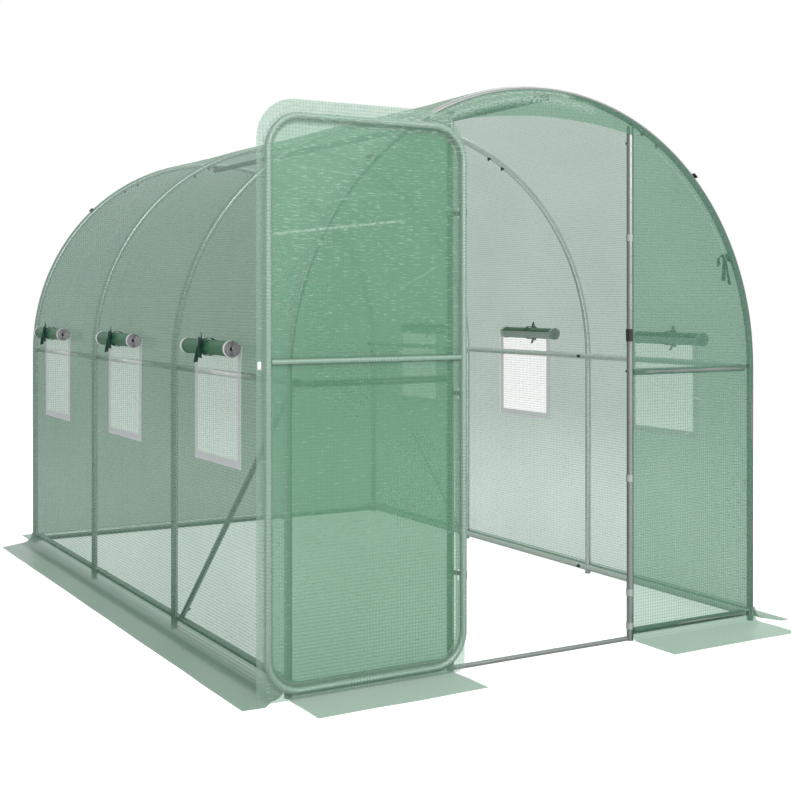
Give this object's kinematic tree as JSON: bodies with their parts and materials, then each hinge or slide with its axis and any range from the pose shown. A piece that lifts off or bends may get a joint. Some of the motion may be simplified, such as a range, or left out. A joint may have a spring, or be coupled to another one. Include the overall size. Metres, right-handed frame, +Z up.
{
  "type": "polytunnel greenhouse",
  "caption": "Walk-in tube-framed greenhouse under a translucent woven film cover, with a hinged end door, screened side windows with rolled-up flaps and ground flaps.",
  "frame": {"origin": "on the ground at the middle of the hoops' footprint", "axes": "+Z up, -Y out of the door end, +X to the right of someone who faces the door end from outside"},
  "size_m": [2.31, 3.472, 1.9871],
  "materials": {
    "galvanised_tube": "galvanised, satin",
    "hinge_steel": "pressed zinc plated steel",
    "cover_film": "translucent woven polyethylene film with a square reinforcing grid",
    "rolled_film": "several turns of the same film, darker because they lie on each other",
    "window_screen": "fine insect mesh in a sewn border tape",
    "tie_ribbon": "woven ribbon",
    "black_clip": "moulded, matt",
    "white_latch": "moulded, satin"
  },
  "bodies": {
    "frame": {"back_base_rail": "galvanised_tube", "back_flap": "cover_film", "back_hoop_bow": "galvanised_tube", "back_hoop_legs": "galvanised_tube", "back_wall_film": "cover_film", "door_sill": "galvanised_tube", "front_base_rails": "galvanised_tube", "front_flaps": "cover_film", "front_header_film": "cover_film", "front_hoop_bow": "galvanised_tube", "front_hoop_legs": "galvanised_tube", "front_left_panel": "cover_film", "front_right_panel": "cover_film", "front_waist_rails": "galvanised_tube", "hoop_clips": "black_clip", "latch_keeper": "black_clip", "left_base_rail": "galvanised_tube", "left_brace": "galvanised_tube", "left_door_post": "galvanised_tube", "left_flap": "cover_film", "left_waist_rail": "galvanised_tube", "left_wall_film": "cover_film", "left_window_rolls": "rolled_film", "left_window_screens": "window_screen", "post_clips": "hinge_steel", "post_hinge_straps": "hinge_steel", "ridge_rail": "galvanised_tube", "right_base_rail": "galvanised_tube", "right_brace": "galvanised_tube", "right_door_post": "galvanised_tube", "right_flap": "cover_film", "right_waist_rail": "galvanised_tube", "right_wall_film": "cover_film", "right_window_rolls": "rolled_film", "right_window_screens": "window_screen", "roof_film": "cover_film", "second_hoop_bow": "galvanised_tube", "second_hoop_legs": "galvanised_tube", "third_hoop_bow": "galvanised_tube", "third_hoop_legs": "galvanised_tube", "window_roll_ties": "tie_ribbon"},
    "door": {"door_film": "cover_film", "door_frame": "galvanised_tube", "door_hinge_straps": "hinge_steel", "door_latch_plate": "white_latch", "door_mid_bar": "galvanised_tube"}
  },
  "joints": [
    {"name": "door_hinge", "type": "hinge", "parent": "frame", "child": "door", "pos_m": [-0.366, -1.535, 0], "axis": [0, 0, 1], "range_deg": [0, 180]}
  ]
}
